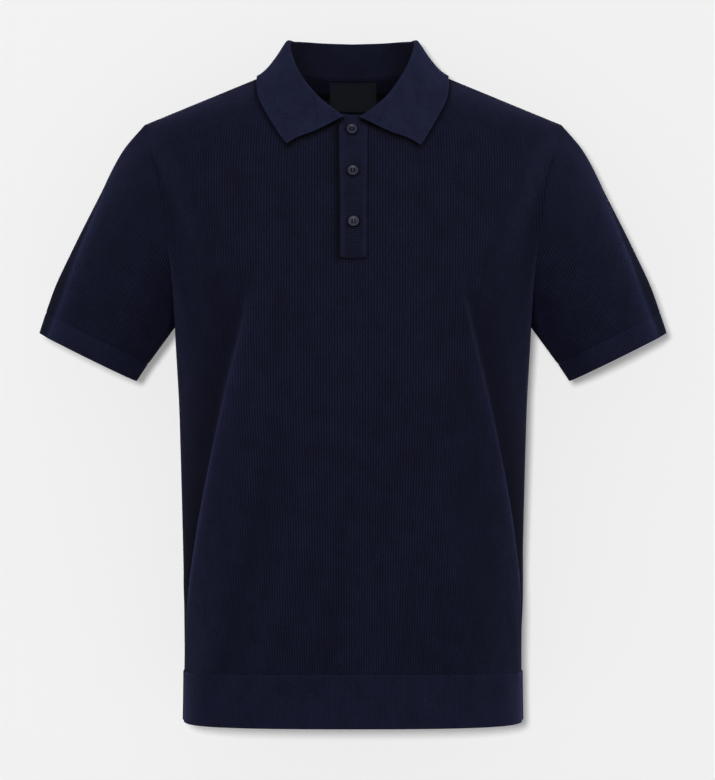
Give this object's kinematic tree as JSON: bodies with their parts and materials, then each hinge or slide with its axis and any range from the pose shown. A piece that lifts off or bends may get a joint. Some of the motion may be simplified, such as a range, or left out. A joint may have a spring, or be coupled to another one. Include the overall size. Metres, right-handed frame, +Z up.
{
  "type": "short-sleeved knitted polo sweater, filled out with no wearer",
  "caption": "Hollow short-sleeved rib-knit polo sweater with a fold-down collar, buttoned placket, banded cuffs and hem, as it hangs on the shoulders.",
  "frame": {"origin": "between the shoulder seams on the garment's middle plane, where the wearer's shoulders carry it", "axes": "+X towards the garment's own left side, which is on the right of someone who faces it; -Y is its front and +Y its back; +Z up, from hem to collar"},
  "size_m": [0.678, 0.2478, 0.7368],
  "materials": {
    "rib_knit": "navy wool and cotton knit with fine vertical ribs, matt with a soft sheen",
    "band_knit": "navy double-knit band, fine close ribs, matt",
    "smooth_knit": "navy plain fine-gauge knit, smooth and matt",
    "button_resin": "polished dark blue-grey resin",
    "label_satin": "bare black satin label"
  },
  "bodies": {
    "root": {"front": "rib_knit", "back": "rib_knit", "sleeve_left": "rib_knit", "sleeve_right": "rib_knit", "hem_band_front": "band_knit", "hem_band_back": "band_knit", "cuff_left": "band_knit", "cuff_right": "band_knit", "collar": "smooth_knit", "placket_upper": "band_knit", "placket_under": "band_knit", "button_1": "button_resin", "button_2": "button_resin", "button_3": "button_resin", "neck_label": "label_satin"}
  },
  "joints": []
}
